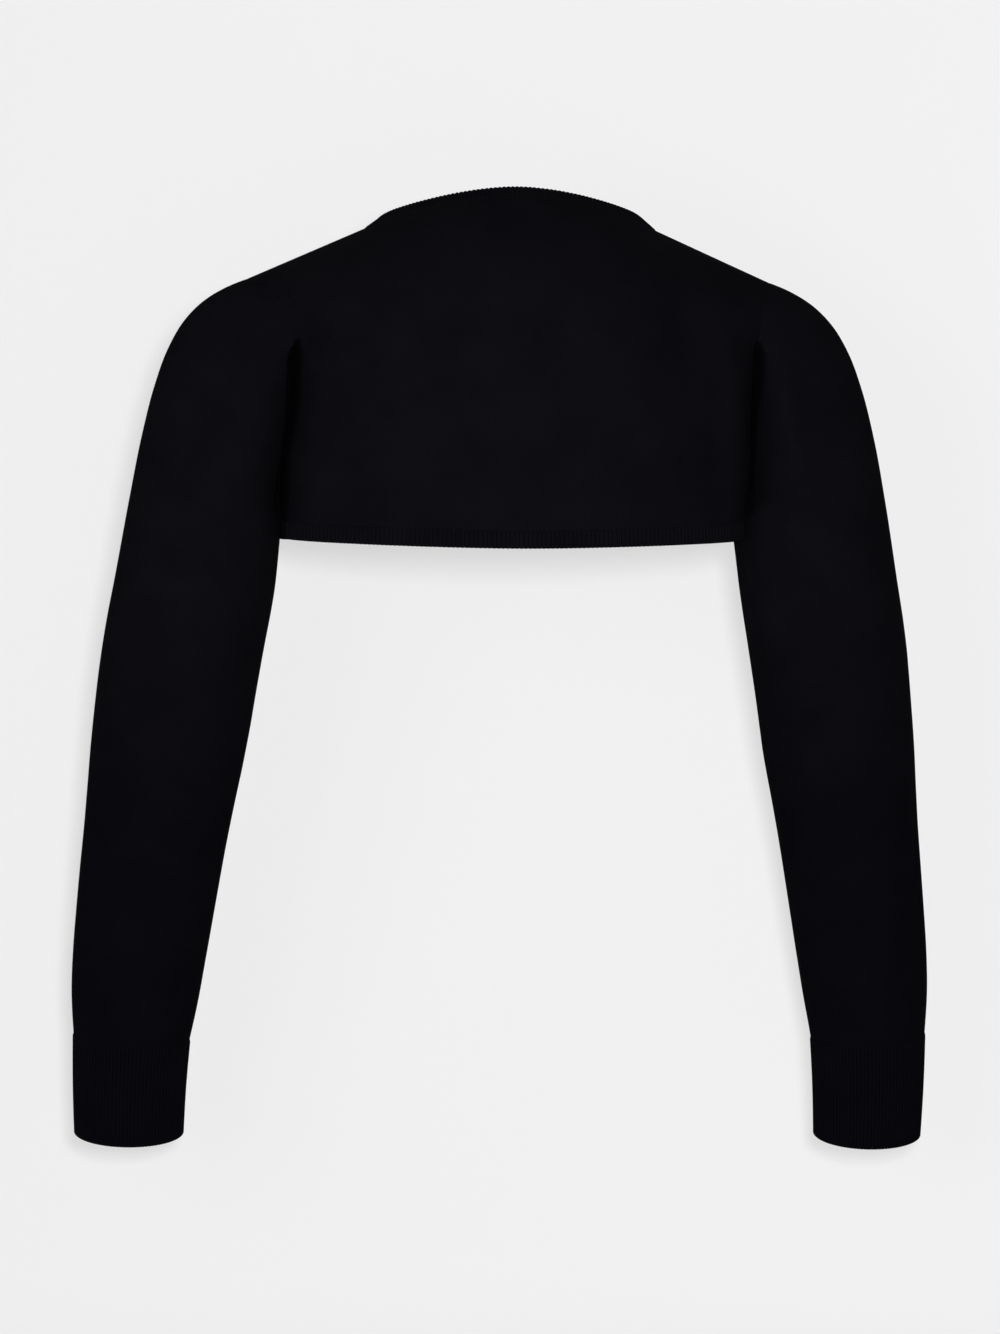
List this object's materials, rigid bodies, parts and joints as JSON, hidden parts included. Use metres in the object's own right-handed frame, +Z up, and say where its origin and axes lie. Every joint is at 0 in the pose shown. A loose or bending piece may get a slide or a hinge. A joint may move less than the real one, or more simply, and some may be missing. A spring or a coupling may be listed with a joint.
{
  "type": "knitted shrug",
  "caption": "Cropped open shrug in fine black knit, worn and hollow, with long sleeves, ribbed cuffs and a narrow ribbed edge band.",
  "frame": {"origin": "between the shoulders, level with the sides of the neck, where the wearer carries the garment", "axes": "+Z up, +Y the way the wearer faces, +X to the wearer's right; the picture looks at the back, along +Y, turned 6 degrees"},
  "size_m": [0.5917, 0.204, 0.6572],
  "materials": {
    "knit": "fine matt black jersey knit",
    "rib": "matt black rib knit"
  },
  "bodies": {
    "root": {"back": "knit", "front_left": "knit", "front_right": "knit", "sleeve_left": "knit", "sleeve_right": "knit", "cuff_left": "rib", "cuff_right": "rib", "neckband": "rib", "front_band_left": "rib", "front_band_right": "rib", "hem_band": "rib"}
  },
  "joints": []
}
